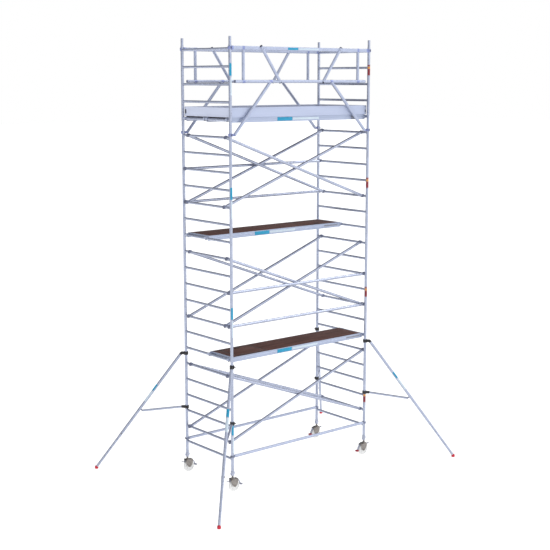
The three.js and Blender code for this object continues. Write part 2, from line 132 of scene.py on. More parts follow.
# ---- materials -----------------------------------------------------------------------------------


def surface(name, color, roughness, metallic=0.0, mottle=0.08, scale=9.0, stretch=(1, 1, 1), bump=0.15,
            grain=350.0, scuffs=0.0, scuff_color=(0.8, 0.8, 0.8), specular=0.5):
    """A material with broad colour variation, uneven roughness, a fine grain and light scuffs."""
    made = bpy.data.materials.new(name)
    made.use_nodes = True
    nodes = made.node_tree.nodes
    links = made.node_tree.links
    shader = nodes["Principled BSDF"]
    shader.inputs["Metallic"].default_value = metallic
    shader.inputs["Specular IOR Level"].default_value = specular
    coords = nodes.new("ShaderNodeTexCoord")
    mapping = nodes.new("ShaderNodeMapping")
    mapping.inputs["Scale"].default_value = stretch
    links.new(coords.outputs["Object"], mapping.inputs["Vector"])

    def noise(size, detail):
        node = nodes.new("ShaderNodeTexNoise")
        node.inputs["Scale"].default_value = size
        node.inputs["Detail"].default_value = detail
        links.new(mapping.outputs["Vector"], node.inputs["Vector"])
        return node.outputs["Fac"]

    def ramp(value, start, end, first, last):
        node = nodes.new("ShaderNodeValToRGB")
        node.color_ramp.elements[0].position = start
        node.color_ramp.elements[1].position = end
        node.color_ramp.elements[0].color = (*first, 1)
        node.color_ramp.elements[1].color = (*last, 1)
        links.new(value, node.inputs["Fac"])
        return node.outputs["Color"]

    dark = tuple(c * (1 - mottle) for c in color)
    light = tuple(min(1.0, c * (1 + mottle)) for c in color)
    shade = ramp(noise(scale, 6), 0.32, 0.68, dark, light)
    if scuffs:
        mask = ramp(noise(scale * 5, 9), 0.62, 0.72, (0, 0, 0), (scuffs, scuffs, scuffs))
        mix = nodes.new("ShaderNodeMix")
        mix.data_type = "RGBA"
        links.new(mask, mix.inputs["Factor"])
        links.new(shade, mix.inputs["A"])
        mix.inputs["B"].default_value = (*scuff_color, 1)
        shade = mix.outputs["Result"]
    links.new(shade, shader.inputs["Base Color"])
    rough = nodes.new("ShaderNodeMapRange")
    rough.inputs["To Min"].default_value = max(0.05, roughness - 0.12)
    rough.inputs["To Max"].default_value = min(1.0, roughness + 0.12)
    links.new(noise(scale * 4, 5), rough.inputs["Value"])
    links.new(rough.outputs["Result"], shader.inputs["Roughness"])
    relief = nodes.new("ShaderNodeBump")
    relief.inputs["Strength"].default_value = bump
    relief.inputs["Distance"].default_value = 0.002
    links.new(noise(grain, 4), relief.inputs["Height"])
    links.new(relief.outputs["Normal"], shader.inputs["Normal"])
    return made


ALUMINIUM = surface("aluminium", (0.385, 0.42, 0.53), 0.28, 0.85, mottle=0.08, scuffs=0.1,
                    scuff_color=(0.62, 0.66, 0.76))
BEAM = surface("beam_aluminium", (0.38, 0.43, 0.56), 0.38, 0.5, mottle=0.04, stretch=(0.15, 1, 1),
               scuffs=0.1, scuff_color=(0.62, 0.66, 0.76))
RAIL = surface("rail_aluminium", (0.40, 0.445, 0.58), 0.42, 0.35, mottle=0.06, scuffs=0.1,
               scuff_color=(0.55, 0.59, 0.70))
CAST = surface("cast_aluminium", (0.22, 0.24, 0.34), 0.45, 0.6, mottle=0.15, bump=0.35, grain=220)
COUPLER = surface("coupler_aluminium", (0.24, 0.28, 0.50), 0.42, 0.6, mottle=0.12, bump=0.3, grain=220)
LATCH = surface("latch_plastic", (0.045, 0.05, 0.085), 0.5, 0, mottle=0.2, scale=40, bump=0.3)
ZINC = surface("zinc_plate", (0.24, 0.22, 0.205), 0.40, 0.6, mottle=0.2, scale=30, scuffs=0.2,
               scuff_color=(0.5, 0.48, 0.45))
PLY = surface("phenolic_plywood", (0.118, 0.056, 0.046), 0.78, 0, mottle=0.25, scale=7,
              stretch=(0.25, 1.6, 1), bump=0.5, grain=160, scuffs=0.15,
              scuff_color=(0.17, 0.10, 0.085), specular=0.2)
# Nearly black: the plywood's edge, darkened further with painted shade for the gap under the toe boards at
# the top platforms' ends.
PLY_EDGE_AND_SHADE = surface("plywood_edge_and_painted_shade", (0.03, 0.022, 0.026), 0.8, 0, mottle=0.3, scale=12, stretch=(1, 1, 30))
EDGING = surface("dark_edging", (0.05, 0.032, 0.03), 0.5, 0.3, mottle=0.15, scale=20)
TOE = surface("toe_board", (0.43, 0.48, 0.63), 0.5, 0.15, mottle=0.03, stretch=(0.15, 1, 1),
              scuffs=0.08, scuff_color=(0.55, 0.60, 0.72))
# Painted light: a lighter copy of the toe boards' colour, so that the end boards look as brightly lit as
# the side boards.
TOE_END_PAINTED_LIGHT = surface("toe_board_end_painted_light", (0.62, 0.67, 0.82), 0.5, 0.05, mottle=0.03, stretch=(1, 0.15, 1),
                  scuffs=0.08, scuff_color=(0.70, 0.74, 0.84))
# Black plastic parts; the same black also stands for the outriggers' pin holes as painted shade.
BLACK = surface("black_plastic_and_hole_shade", (0.012, 0.012, 0.014), 0.5, 0, mottle=0.3, scale=40, bump=0.3,
                scuffs=0.12, scuff_color=(0.06, 0.06, 0.06))
RUBBER = surface("red_rubber", (0.52, 0.015, 0.035), 0.62, 0, mottle=0.15, scale=30, bump=0.4,
                 scuffs=0.2, scuff_color=(0.4, 0.05, 0.06))
RED = surface("red_plastic", (0.36, 0.010, 0.025), 0.45, 0, mottle=0.1, scale=30, bump=0.1)
MAROON = surface("maroon_band", (0.22, 0.012, 0.025), 0.4, 0, mottle=0.1, scale=15, bump=0.05)
NUT = surface("nut_casting", (0.40, 0.43, 0.53), 0.5, 0.35, mottle=0.12, scale=30, bump=0.35, grain=220)
NYLON = surface("wheel_nylon", (0.74, 0.74, 0.73), 0.5, 0, mottle=0.05, scale=20, bump=0.2,
                scuffs=0.25, scuff_color=(0.5, 0.49, 0.48))
TEAL = surface("teal_band", (0.0, 0.27, 0.46), 0.45, 0, mottle=0.08, scale=15, bump=0.05)
PALE = surface("pale_band", (0.53, 0.62, 0.70), 0.45, 0, mottle=0.05, scale=15, bump=0.05)
AMBER = surface("amber_band", (0.66, 0.26, 0.02), 0.4, 0, mottle=0.08, scale=15, bump=0.05)
GREY = surface("grey_band", (0.22, 0.23, 0.28), 0.4, 0, mottle=0.1, scale=15, bump=0.05)
FLOOR = surface("studio_floor", (0.6, 0.6, 0.6), 0.9, 0, mottle=0.004, scale=0.5, bump=0.02, grain=60)
FLOOR.node_tree.nodes["Principled BSDF"].inputs["Emission Color"].default_value = (1, 1, 1, 1)
FLOOR.node_tree.nodes["Principled BSDF"].inputs["Emission Strength"].default_value = 0.74

# ---- mesh tools ----------------------------------------------------------------------------------


class Shape:
    """Gathers closed solids, each with its own material, into one mesh. place moves what comes after."""

    def __init__(self, place=None):
        self.bm = bmesh.new()
        self.materials = []
        self.place = place or Matrix()

    def _take(self, part, mat):
        if mat not in self.materials:
            self.materials.append(mat)
        for face in part.faces:
            face.material_index = self.materials.index(mat)
        bmesh.ops.recalc_face_normals(part, faces=part.faces)
        bmesh.ops.transform(part, matrix=self.place, verts=part.verts)
        mesh = bpy.data.meshes.new("part")
        part.to_mesh(mesh)
        part.free()
        self.bm.from_mesh(mesh)
        bpy.data.meshes.remove(mesh)

    def _rings(self, rings, mat, closed=False):
        """Skins rings of points in order, and caps the two ends unless the last ring meets the first."""
        part = bmesh.new()
        made = [[part.verts.new(p) for p in ring] for ring in rings]
        pairs = list(zip(made, made[1:]))
        if closed:
            pairs.append((made[-1], made[0]))
        for a, b in pairs:
            for i in range(len(a)):
                j = (i + 1) % len(a)
                part.faces.new((a[i], a[j], b[j], b[i]))
        if not closed:
            part.faces.new(made[0][::-1])
            part.faces.new(made[-1])
        self._take(part, mat)

    def lathe(self, start, end, profile, mat, sides=28, rib=0.0, closed=False):
        """Turns (radius, distance) points about the line from start to end."""
        start = Vector(start)
        axis = (Vector(end) - start).normalized()
        across = axis.orthogonal().normalized()
        other = axis.cross(across)
        rings = []
        for radius, distance in profile:
            ring = []
            for i in range(sides):
                angle = 2 * math.pi * i / sides
                spoke = across * math.cos(angle) + other * math.sin(angle)
                ring.append(start + axis * distance + spoke * (radius - (rib if i % 2 else 0)))
            rings.append(ring)
        self._rings(rings, mat, closed)

    def rod(self, start, end, radius, mat, sides=28, edge=0.0012, rib=0.0):
        """A solid rod with bevelled ends, and with fine ribs along it where rib isn't zero."""
        length = (Vector(end) - Vector(start)).length
        edge = min(edge, radius * 0.3, length * 0.3)
        profile = [(radius - edge, 0), (radius, edge), (radius, length - edge), (radius - edge, length)]
        self.lathe(start, end, profile, mat, sides, rib)

    def pipe(self, start, end, radius, inner, mat, sides=28):
        length = (Vector(end) - Vector(start)).length
        edge = 0.0006
        profile = [(inner, 0), (radius - edge, 0), (radius, edge),
                   (radius, length - edge), (radius - edge, length), (inner, length)]
        self.lathe(start, end, profile, mat, sides, closed=True)

    def prism(self, outline, thickness, mat, turn=None, bevel=0.0012):
        """Extrudes an outline of (u, v) points both ways along w, with its edges bevelled."""
        part = bmesh.new()
        turn = turn or Matrix()
        ends = [[part.verts.new(turn @ Vector((u, v, w))) for u, v in outline]
                for w in (-thickness / 2, thickness / 2)]
        rim = part.faces.new(ends[0][::-1]), part.faces.new(ends[1])
        for i in range(len(outline)):
            j = (i + 1) % len(outline)
            part.faces.new((ends[0][i], ends[0][j], ends[1][j], ends[1][i]))
        if bevel:
            edges = list({edge for face in rim for edge in face.edges})
            bmesh.ops.bevel(part, geom=edges, offset=bevel, segments=2, affect="EDGES", profile=0.5)
        self._take(part, mat)

    def block(self, low, high, mat, bevel=0.0015):
        """A box between two opposite corners, with bevelled edges."""
        part = bmesh.new()
        size = [abs(b - a) for a, b in zip(low, high)]
        middle = [(a + b) / 2 for a, b in zip(low, high)]
        bmesh.ops.create_cube(part, size=1, matrix=Matrix.Translation(middle) @ Matrix.Diagonal((*size, 1)))
        offset = min(bevel, min(size) * 0.3)
        bmesh.ops.bevel(part, geom=list(part.edges), offset=offset, segments=2, affect="EDGES", profile=0.5)
        self._take(part, mat)

    def band(self, x, y, z0, z1, radius, facing, spread, mat):
        """A thin label bent round an upright tube, centred on the angle facing, in degrees."""
        depth = 0.001
        angles = [math.radians(facing + spread * (i / 12 - 0.5)) for i in range(13)]
        outer = [(x + radius * math.cos(a), y + radius * math.sin(a)) for a in angles]
        inner = [(x + (radius - depth) * math.cos(a), y + (radius - depth) * math.sin(a)) for a in angles]
        lift = Matrix.Translation((0, 0, (z0 + z1) / 2))
        self.prism(outer + inner[::-1], z1 - z0, mat, lift, bevel=0)

    def piece(self, name, body, slot, *nodes):
        """Turns what was gathered into one object that rides on body and stands in for nodes."""
        mesh = bpy.data.meshes.new(name)
        self.bm.to_mesh(mesh)
        self.bm.free()
        for mat in self.materials:
            mesh.materials.append(mat)
        mesh.polygons.foreach_set("use_smooth", [True] * len(mesh.polygons))
        mesh.set_sharp_from_angle(angle=math.radians(32))
        made = bpy.data.objects.new(name, mesh)
        bpy.context.collection.objects.link(made)
        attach(made, body)
        if nodes:
            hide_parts(*nodes)
        return made


def open_ring(inner, outer, mouth, half_mouth, steps=22):
    """The outline of a C-shaped claw whose mouth faces the angle mouth, in degrees."""
    span = [math.radians(mouth + half_mouth + (360 - 2 * half_mouth) * i / steps) for i in range(steps + 1)]
    ring = [(outer * math.cos(a), outer * math.sin(a)) for a in span]
    return ring + [(inner * math.cos(a), inner * math.sin(a)) for a in span[::-1]]


def round_box(width, height, radius, steps=4):
    """The outline of a rectangle with round corners."""
    points = []
    for corner, (sx, sy) in enumerate([(1, 1), (-1, 1), (-1, -1), (1, -1)]):
        for i in range(steps + 1):
            angle = math.radians(90 * corner + 90 * i / steps)
            points.append((sx * (width / 2 - radius) + radius * math.cos(angle),
                           sy * (height / 2 - radius) + radius * math.sin(angle)))
    return points


# UPRIGHT stands a (u, v) outline up, so that u is x and v is height. UPRIGHT_BACK has u along -x.
# ALONG_X takes an outline of (y, z) and extrudes it along x.
UPRIGHT = Matrix.Rotation(math.pi / 2, 4, "X")
UPRIGHT_BACK = Matrix.Rotation(math.pi, 4, "Z") @ UPRIGHT
ALONG_X = Matrix(((0, 0, 1, 0), (1, 0, 0, 0), (0, 1, 0, 0), (0, 0, 0, 1)))

# ---- ladder frames -------------------------------------------------------------------------------

UPRIGHT_BORE = 0.023
SPIGOT_R = 0.0223
SPIGOT_BORE = 0.019
FRAME_GAP = 0.0003  # between one frame's top and the next one's foot
LABEL_R = 0.0257
LABEL_RUNGS = (2, 9, 16, 23)


def ladder_frame(node, rungs):
    """Two uprights with spigots, pins and rivets, and ribbed rungs with a weld bead at each end."""
    box_low, box_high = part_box(node)
    x = (box_low[0] + box_high[0]) / 2
    foot = box_high[2] - SPIGOT_RISE - rungs * PITCH
    top = foot + rungs * PITCH - FRAME_GAP
    pin_z = top + 0.085
    shape = Shape()
    for y in (-HALF_Y, HALF_Y):
        shape.pipe((x, y, foot), (x, y, top), UPRIGHT_R, UPRIGHT_BORE, ALUMINIUM, 36)
        shape.pipe((x, y, top - 0.06), (x, y, top + SPIGOT_RISE), SPIGOT_R, SPIGOT_BORE, ALUMINIUM, 32)
        shape.rod((x - 0.0235, y, pin_z), (x + 0.0235, y, pin_z), 0.004, ZINC, 12)
        for z in (foot + 0.035, top - 0.09):
            shape.rod((x, y - 0.0262, z), (x, y + 0.0262, z), 0.0045, ZINC, 12)
    bead = [(0.0170, 0), (0.0215, 0.0008), (0.0225, 0.0035), (0.0200, 0.0065), (0.0170, 0.0075)]
    reach = HALF_Y - UPRIGHT_R + 0.004
    for i in range(rungs):
        z = foot + RUNG_RISE + i * PITCH
        shape.rod((x, -reach, z), (x, reach, z), RUNG_R, ALUMINIUM, 36, rib=0.0008)
        for side in (-1, 1):
            shape.lathe((x, side * (HALF_Y - 0.0235), z), (x, 0, z), bead, ALUMINIUM, 24)
    shape.piece(f"{node}_tubes", "tower", "aluminium", node)


def adjusting_nut(corner, x, y):
    """The cast nut with two wings that the upright stands on, and its bearing ring."""
    foot = FIRST_RUNG - RUNG_RISE
    shape = Shape(Matrix.Translation((x, y, foot)))
    profile = [(0.0185, -0.078), (0.026, -0.078), (0.0275, -0.072), (0.0275, -0.030), (0.0305, -0.024),
               (0.0305, 0.002), (0.029, 0.004), (0.0255, 0.004), (0.0255, -0.001), (0.0185, -0.001)]
    shape.lathe((0, 0, 0), (0, 0, 1), profile, NUT, 32, closed=True)
    wing = [(0.024, -0.064), (0.034, -0.062), (0.0465, -0.050), (0.0465, -0.028), (0.040, -0.022),
            (0.024, -0.030)]
    for turn in (UPRIGHT_BACK, UPRIGHT):
        shape.prism(wing, 0.011, NUT, turn, bevel=0.003)
    shape.piece(f"adjusting_nut_{corner}", "tower", "aluminium")


def upright_labels():
    """Plain colour bands at the same height on each frame of the two front uprights."""
    for index in LABEL_RUNGS:
        z = rung_z(index) + 0.05
        shape = Shape()
        shape.band(-BAY_X, -HALF_Y, z - 0.195, z, LABEL_R, -95, 110, TEAL)
        shape.band(-BAY_X, -HALF_Y, z - 0.50, z - 0.22, LABEL_R, -80, 70, PALE)
        shape.band(BAY_X, -HALF_Y, z - 0.024, z, LABEL_R, -110, 150, MAROON)
        shape.band(BAY_X, -HALF_Y, z - 0.066, z - 0.030, LABEL_R, -110, 150, AMBER)
        shape.band(BAY_X, -HALF_Y, z - 0.18, z - 0.070, LABEL_R, -110, 150, MAROON)
        shape.piece(f"frame_labels_{index}", "tower", "aluminium")


for side in ("left", "right"):
    for level in (1, 2, 3, 4):
        ladder_frame(f"frame_{side}_{level}", FULL_RUNGS if level < 4 else TOP_RUNGS)
for corner, (sx, sy) in CORNERS.items():
    adjusting_nut(corner, sx * BAY_X, sy * HALF_Y)
upright_labels()

# ---- braces and handrails ------------------------------------------------------------------------

CLAW_BORE = 0.0213     # round a rung
CLAW_R = 0.0345
CLAW_TOP = 0.035       # a brace's box over its upper rung's axis
CLAW_FOOT = 0.0268     # a brace's box below its lower rung's axis
COLLAR_BORE = 0.0256   # round an upright
COLLAR_R = 0.0365
SLEEVE_R = BRACE_R + 0.0012
SLEEVE_BORE = BRACE_R - 0.0005


def rung_claw(shape, x, y, z, end):
    """A cast claw over a rung, with the latch under it. end is the way from the brace to the rung."""
    shape.place = Matrix.Translation((x, y, z))
    shape.prism(open_ring(CLAW_BORE, CLAW_R, -90, 42), 0.040, CAST, UPRIGHT, bevel=0.002)
    shape.block((-0.0145, -0.012, -0.0265), (0.0145, 0.012, -CLAW_BORE), LATCH, bevel=0.002)
    shape.block((end * 0.023, -0.011, -0.0262), (end * CLAW_R, 0.011, 0.012), LATCH, bevel=0.003)
    shape.place = Matrix()


def straight_brace(node):
    """Reads a brace's ends from its node's name and box, and draws its tube and claws."""
    box_low, box_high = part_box(node)
    y = (box_low[1] + box_high[1]) / 2
    heights = box_low[2] + CLAW_FOOT, box_high[2] - CLAW_TOP
    if "rail" in node:
        heights = heights[1], heights[1]
    if "falling" in node:
        heights = heights[::-1]
    start = Vector((-BAY_X, y, heights[0]))
    end = Vector((BAY_X, y, heights[1]))
    way = (end - start).normalized()
    poke = Vector((0, BRACE_R + 0.002, 0))
    shape = Shape()
    shape.rod(start + way * 0.031, end - way * 0.031, BRACE_R, ALUMINIUM, 28)
    for point, sign in ((start, -1), (end, 1)):
        inner = point - way * sign * 0.055
        rivet = inner - way * sign * 0.045
        shape.pipe(inner, inner - way * sign * 0.07, SLEEVE_R, SLEEVE_BORE, ALUMINIUM, 28)
        shape.rod(rivet - poke, rivet + poke, 0.004, ZINC, 12)
        rung_claw(shape, *point, sign)
    shape.piece(f"{node}_tube", "tower", "aluminium", node)


def base_brace(node):
    """A brace along a long side, with a collar and latch on the upright at each end."""
    box_low, box_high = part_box(node)
    y = (box_low[1] + box_high[1]) / 2
    z = (box_low[2] + box_high[2]) / 2
    reach = BAY_X - 0.034
    shape = Shape()
    shape.rod((-reach, y, z), (reach, y, z), BRACE_R, RAIL, 28)
    for end in (-1, 1):
        sleeve = [(end * (BAY_X - inset), y, z) for inset in (0.06, 0.13)]
        shape.pipe(*sleeve, SLEEVE_R, SLEEVE_BORE, RAIL, 28)
        shape.place = Matrix.Translation((end * BAY_X, y, z))
        mouth = 0 if end > 0 else 180
        shape.prism(open_ring(COLLAR_BORE, COLLAR_R, mouth, 35), 0.034, CAST, bevel=0.002)
        shape.block((end * 0.0262, -0.013, -0.010), (end * 0.0352, 0.013, 0.010), LATCH, bevel=0.003)
        shape.place = Matrix()
    shape.piece(f"{node}_tube", "tower", "aluminium", node)


for side in ("front", "rear"):
    base_brace(f"base_brace_{side}")
    straight_brace(f"handrail_{side}_knee")
    straight_brace(f"handrail_{side}_hip")
    for bay in (1, 2, 3):
        straight_brace(f"diagonal_{side}_{bay}_falling")
        straight_brace(f"diagonal_{side}_{bay}_rising")

# ---- platforms -----------------------------------------------------------------------------------

DECK_REACH = 1.488   # from the middle of the tower to a platform's end
DECK_TOP = 0.0395    # the plywood's top and underside over the rungs' axes
PLY_FOOT = 0.028
PLY_INSET = 0.0046   # from a platform's side to its plywood
HOOK_Y = 0.268
HATCH_X = 1.01       # from the middle of the tower to a hatch's middle
HATCH_HALF_X = 0.31
HATCH_HALF_Y = 0.24
BORDER = 0.0118      # the edging round a hatch's hole
SPACE = 0.0002       # between the edging and the plywood


def beam_outline(side):
    """An extruded side beam's section: lips at the top and bottom and two grooves along its outer face."""
    face = [(0.0, -0.043), (0.0, -0.036), (-0.0035, -0.034), (-0.0035, -0.006), (-0.0012, -0.003),
            (-0.0012, 0.003), (-0.0035, 0.006), (-0.0035, 0.030), (0.0, 0.032), (0.0, 0.040)]
    inner = [(-0.0042, 0.040), (-0.0042, 0.0278), (-0.028, 0.0278), (-0.028, 0.018), (-0.010, 0.016),
             (-0.010, -0.030), (-0.028, -0.033), (-0.028, -0.043)]
    return [(side * y, z) for y, z in face + inner]


def deck_hook(shape, end, y):
    """A hook over the end rung, with its lock below. end is the way from the platform to the rung."""
    reach = 0.032
    bore, bore_corner = 0.0208, 0.014
    shell, shell_corner = 0.0285, 0.018
    hook = [(-0.012, -shell_corner), (reach - bore, -shell_corner), (reach - bore, bore_corner),
            (reach - bore_corner, bore), (reach + bore_corner, bore), (reach + bore, bore_corner),
            (reach + bore, -bore_corner), (reach + shell, -bore_corner), (reach + shell, shell_corner),
            (reach + shell_corner, shell), (-0.012, shell)]
    turn = UPRIGHT if end > 0 else UPRIGHT_BACK
    shape.prism(hook, 0.047, RAIL, Matrix.Translation((end * DECK_REACH, y, 0)) @ turn, bevel=0.002)
    shape.block((end * (DECK_REACH + 0.018), y - 0.011, -0.0280),
                (end * (DECK_REACH + 0.046), y + 0.011, -0.0212), LATCH)


def hatch_hole(shape, start, end, half):
    """The edging on the hole's four sides, and the strips of plywood beside it."""
    for s, x in ((-1, start), (1, end)):
        shape.block((x, -HATCH_HALF_Y, 0.004), (x + s * BORDER, HATCH_HALF_Y, 0.040), EDGING)
        shape.block((start - BORDER, s * HATCH_HALF_Y, 0.004),
                    (end + BORDER, s * (HATCH_HALF_Y + BORDER), 0.040), EDGING)
        shape.block((start - BORDER, s * (HATCH_HALF_Y + BORDER + SPACE), PLY_FOOT),
                    (end + BORDER, s * (half - PLY_INSET), DECK_TOP), PLY, bevel=0.0008)


def deck(name, index, hatch_side):
    """A platform on the rungs numbered index. hatch_side is 0 without a hatch, or its way along x."""
    low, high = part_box(f"deck_{name}")
    middle = (low[1] + high[1]) / 2
    half = (high[1] - low[1]) / 2
    at_top = "top" in name
    trim = 0.02 if at_top else 0.036
    # On the top platforms the strip over each end beam is the plywood edge with painted shade; on the
    # others it is beam aluminium.
    trim_material = PLY_EDGE_AND_SHADE if at_top else BEAM
    shape = Shape(Matrix.Translation((0, middle, rung_z(index))))
    for s in (-1, 1):
        lift = Matrix.Translation((0, s * half, 0))
        shape.prism(beam_outline(s), 2 * DECK_REACH, BEAM, lift @ ALONG_X, bevel=0)
        shape.block((s * DECK_REACH, -half + 0.002, -0.028),
                    (s * (DECK_REACH - 0.006), half - 0.002, 0.008), BEAM)
        shape.block((s * DECK_REACH, -half + 0.005, 0.010),
                    (s * (DECK_REACH - trim), half - 0.005, DECK_TOP), trim_material, 0.001)
        for y in (-HOOK_Y, HOOK_Y):
            deck_hook(shape, s, y)
    cuts = [-DECK_REACH + trim, DECK_REACH - trim]
    if hatch_side:
        start, end = (hatch_side * HATCH_X + s * HATCH_HALF_X for s in (-1, 1))
        cuts[1:1] = [start - BORDER - SPACE, end + BORDER + SPACE]
        hatch_hole(shape, start, end, half)
    for start, end in zip(cuts[::2], cuts[1::2]):
        shape.block((start, -half + PLY_INSET, PLY_FOOT), (end, half - PLY_INSET, DECK_TOP), PLY,
                    bevel=0.0008)
        count = max(2, round((end - start) / 0.28))
        for i in range(count + 1):
            x = start + 0.03 + (end - start - 0.06) * i / count
            for y in (-half + 0.02, half - 0.02):
                shape.rod((x, y, 0.039), (x, y, 0.0403), 0.005, EDGING, 14, edge=0.0006)
    for x in (-0.65, 0, 0.65):
        shape.block((x - 0.015, -half + 0.02, -0.028), (x + 0.015, half - 0.02, 0.0285), BEAM)
    face = -half - 0.0004
    if name != "top_rear":
        shape.block((-0.50, face, -0.031), (-0.18, face + 0.006, 0.027), TEAL, bevel=0.0003)
        shape.block((-0.17, face, -0.020), (0.41, face + 0.006, 0.018), PALE, bevel=0.0003)
    if not at_top:
        shape.block((1.10, face, -0.012), (1.42, face + 0.006, 0.010), GREY, bevel=0.0003)
    if name == "top_front":
        shape.block((1.17, face, -0.034), (1.26, face + 0.006, 0.022), GREY, bevel=0.0003)
    shape.piece(f"deck_{name}_parts", "tower", "deck_frame", f"deck_{name}")


def hatch(name, side):
    """The flap with its edging, battens, handle, and hinge leaves at the platform's outer side."""
    (x0, y0, z0), (x1, y1, z1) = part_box(f"hatch_{name}")
    edge = 0.013
    under = z1 - 0.012
    shape = Shape()
    shape.block((x0 + 0.012, y0 + 0.012, under), (x1 - 0.012, y1 - 0.012, z1 - 0.0003), PLY, bevel=0.0008)
    shape.block((x0, y0, under), (x1, y0 + edge, z1), EDGING)
    shape.block((x0, y1 - edge, under), (x1, y1, z1), EDGING)
    for a, b in ((x0, x0 + edge), (x1 - edge, x1)):
        shape.block((a, y0 + edge, under), (b, y1 - edge, z1), EDGING)
    for x in (x0 + 0.06, x1 - 0.06):
        shape.block((x - 0.02, y0 + 0.02, z0), (x + 0.02, y1 - 0.02, z1 - 0.0118), BEAM)
    outer, inner = (y0, y1) if side < 0 else (y1, y0)
    for x in (x0 + 0.12, x1 - 0.12):
        shape.block((x - 0.035, outer, z1 - 0.002), (x + 0.035, outer - side * 0.04, z1 + 0.002), EDGING,
                    bevel=0.001)
        shape.rod((x - 0.035, outer, z1), (x + 0.035, outer, z1), 0.0035, EDGING, 12)
    grip = inner + side * 0.06
    middle = (x0 + x1) / 2
    for x in (middle - 0.05, middle + 0.05):
        shape.rod((x, grip, z1 - 0.001), (x, grip, z1 + 0.008), 0.005, BLACK, 14)
    bar_z = z1 + 0.006
    shape.rod((middle - 0.055, grip, bar_z), (middle + 0.055, grip, bar_z), 0.0045, BLACK, 14)
    shape.piece(f"hatch_{name}_flap", f"hatch_{name}", "plywood", f"hatch_{name}")


for name, index, side, hatch_side in (("lower", 6, -1, -1), ("middle", 13, 1, 1), ("top_front", 20, -1, 0),
                                      ("top_rear", 20, 1, -1)):
    deck(name, index, hatch_side)
    if hatch_side:
        hatch(name, side)


def toe_boards():
    """Four grooved boards on edge, with dark locks at two corners."""
    (x0, y0, z0), (x1, y1, z1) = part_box("toe_boards")
    rise = z1 - z0
    groove = -0.0008
    section = [(0.0, 0.0), (0.0, 0.0300), (groove, 0.0304), (groove, 0.0330), (0.0, 0.0334),
               (0.0, rise - 0.0304), (groove, rise - 0.0300), (groove, rise - 0.0274),
               (0.0, rise - 0.0270), (0.0, rise - 0.003), (-0.003, rise), (-0.017, rise),
               (-0.020, rise - 0.003), (-0.020, 0.0)]
    shape = Shape()
    for s, y in ((-1, y0), (1, y1)):
        lift = Matrix.Translation((0, y, z0))
        shape.prism([(s * a, b) for a, b in section], x1 - x0, TOE, lift @ ALONG_X, bevel=0)
    for s, x in ((-1, x0), (1, x1)):
        lift = Matrix.Translation((x, 0, z0))
        # The end boards take the lighter copy of the toe boards' colour: painted light.
        shape.prism([(s * a, b) for a, b in section], y1 - y0 - 0.041, TOE_END_PAINTED_LIGHT, lift @ UPRIGHT, bevel=0)
        y = y1 if s < 0 else y0
        shape.block((x + s * 0.002, y + s * 0.045, z0 + 0.04),
                    (x - s * 0.004, y + s * 0.012, z0 + 0.11), BLACK)
        shape.block((x - s * 0.014, y - s * 0.002, z0 + 0.035),
                    (x - s * 0.032, y + s * 0.004, z0 + 0.08), BLACK)
        shape.block((x - s * 0.012, y - s * 0.002, z1 - 0.022),
                    (x - s * 0.026, y + s * 0.004, z1 - 0.006), BLACK)
    shape.piece("toe_boards_set", "tower", "aluminium", "toe_boards")


toe_boards()

# ---- guard rails ---------------------------------------------------------------------------------

GUARD_SHIFT = -0.028  # the struts' and legs' middle from the tower's middle
POST_X = 1.255
STRUT_FOOT_X = 0.462
STRUT_HEAD_X = 0.877
LEG_HEAD_X = 0.664
GUARD_CAP_R = GUARD_R + 0.0006


